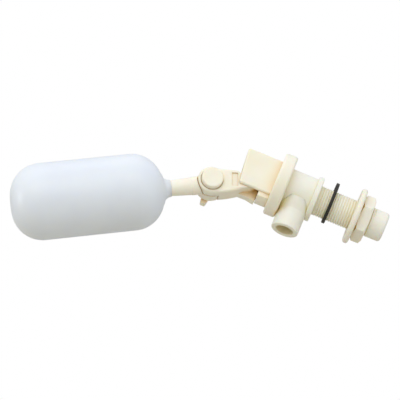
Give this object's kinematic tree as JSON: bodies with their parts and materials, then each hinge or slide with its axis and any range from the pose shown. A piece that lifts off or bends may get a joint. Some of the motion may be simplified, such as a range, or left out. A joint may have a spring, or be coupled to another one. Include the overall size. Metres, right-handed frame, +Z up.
{
  "type": "float valve",
  "caption": "Side-entry tank float valve: threaded inlet with locknut, open spout, bonnet with piston lever, and a capsule float on an angle-set rod.",
  "frame": {"origin": "on the inlet axis, at the body flange's face that clamps to the tank wall", "axes": "+X along the inlet stem towards the supply, +Z up, spout towards -Z, float towards -X; lever and rod turn about +Y"},
  "size_m": [0.245, 0.0522, 0.1264],
  "materials": {
    "body_plastic": "slightly translucent, smooth moulded, off-white",
    "cream_plastic": "smooth moulded, warm cream",
    "nut_plastic": "smooth moulded, pale cream",
    "float_plastic": "blow-moulded, milky, translucent",
    "seat_plastic": "dense white, smooth",
    "black_rubber": "matt moulded rubber"
  },
  "bodies": {
    "valve": {"valve_body": "body_plastic", "inlet_stem": "body_plastic", "outlet_spout": "body_plastic", "inlet_nozzle": "seat_plastic", "bonnet": "cream_plastic", "union_ring": "cream_plastic", "bonnet_gasket": "black_rubber", "pivot_pin": "cream_plastic"},
    "piston": {"piston": "seat_plastic", "seat_washer": "black_rubber", "piston_o_ring": "black_rubber"},
    "lever": {"lever_arm": "cream_plastic", "joint_bolt": "cream_plastic"},
    "wing_nut": {"wing_nut": "cream_plastic"},
    "float": {"float_rod": "cream_plastic", "float_shell": "float_plastic"},
    "gasket": {"tank_gasket": "black_rubber"},
    "washer": {"slip_washer": "nut_plastic"},
    "nut": {"locknut": "nut_plastic"}
  },
  "joints": [
    {"name": "lever_swing", "type": "hinge", "parent": "valve", "child": "lever", "pos_m": [-0.046, 0, -0.0086], "axis": [0, 1, 0], "range_deg": [0, 28]},
    {"name": "piston_slide", "type": "slide", "parent": "valve", "child": "piston", "axis": [1, 0, 0], "range_m": [0, 0.0043]},
    {"name": "float_angle", "type": "hinge", "parent": "lever", "child": "float", "pos_m": [-0.07127, 0, -0.0184], "axis": [0, 1, 0], "range_deg": [-50, 60]},
    {"name": "wing_nut_turn", "type": "hinge", "parent": "lever", "child": "wing_nut", "pos_m": [-0.07127, 0, -0.0184], "axis": [0, 1, 0], "range_deg": [0, 360]},
    {"name": "gasket_slide", "type": "slide", "parent": "valve", "child": "gasket", "axis": [1, 0, 0], "range_m": [-0.0085, 0]},
    {"name": "locknut_travel", "type": "slide", "parent": "valve", "child": "washer", "axis": [1, 0, 0], "range_m": [-0.0152, 0.0079]},
    {"name": "locknut_turn", "type": "hinge", "parent": "washer", "child": "nut", "pos_m": [0.035, 0, 0], "axis": [1, 0, 0], "range_deg": [-3030, 1580]}
  ],
  "couplings": [
    {"joint": "piston_slide", "follows": "lever_swing", "m_per_rad": 0.0086137},
    {"joint": "locknut_turn", "follows": "locknut_travel", "rad_per_m": 3463.7}
  ]
}
